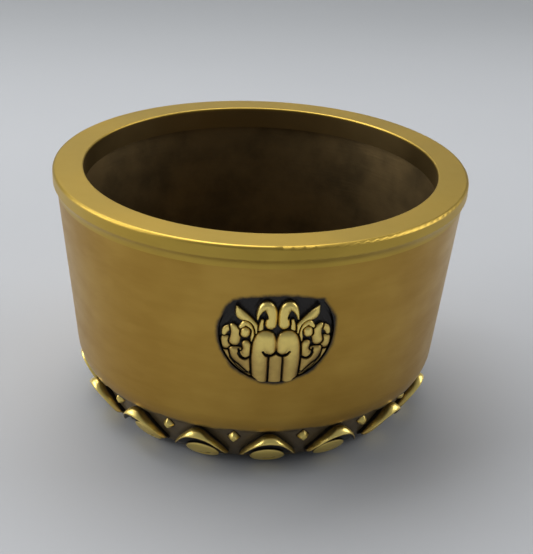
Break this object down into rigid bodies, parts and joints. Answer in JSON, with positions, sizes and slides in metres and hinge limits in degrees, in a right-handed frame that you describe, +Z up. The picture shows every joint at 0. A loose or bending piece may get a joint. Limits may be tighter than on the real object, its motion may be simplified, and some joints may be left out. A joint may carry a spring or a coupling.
{
  "type": "pot",
  "caption": "Low round brass pot with a thick rim, a tapered wall, oval scroll medallions and a blackened band of lotus petals at the base.",
  "frame": {"origin": "centre of the foot ring's underside, on the table", "axes": "+Z up along the pot's axis, -Y towards the front medallion, +X to the right seen from the front"},
  "size_m": [0.11, 0.11, 0.068],
  "materials": {
    "rim_brass": "turned and finely brushed, satin",
    "wall_brass": "aged satin brass with cloudy warm patches",
    "band_patina": "black-brown patina on brass",
    "petal_brass": "rubbed high points over dark patina",
    "medallion_brass": "polished relief with black-brown grooves",
    "floor_brass": "dark brown oxidised inside",
    "foot_brass": "turned, dull"
  },
  "bodies": {
    "root": {"rim_ring": "rim_brass", "pot_shell": "wall_brass", "lotus_band": "band_patina", "floor_plate": "floor_brass", "foot_ring": "foot_brass", "medallion_front": "medallion_brass", "medallion_rear": "medallion_brass", "petal_01": "petal_brass", "petal_02": "petal_brass", "petal_03": "petal_brass", "petal_04": "petal_brass", "petal_05": "petal_brass", "petal_06": "petal_brass", "petal_07": "petal_brass", "petal_08": "petal_brass", "petal_09": "petal_brass", "petal_10": "petal_brass", "petal_11": "petal_brass", "petal_12": "petal_brass", "petal_13": "petal_brass", "petal_14": "petal_brass", "petal_15": "petal_brass", "petal_16": "petal_brass", "tip_01": "petal_brass", "tip_02": "petal_brass", "tip_03": "petal_brass", "tip_04": "petal_brass", "tip_05": "petal_brass", "tip_06": "petal_brass", "tip_07": "petal_brass", "tip_08": "petal_brass", "tip_09": "petal_brass", "tip_10": "petal_brass", "tip_11": "petal_brass", "tip_12": "petal_brass", "tip_13": "petal_brass", "tip_14": "petal_brass", "tip_15": "petal_brass", "tip_16": "petal_brass"}
  },
  "joints": []
}
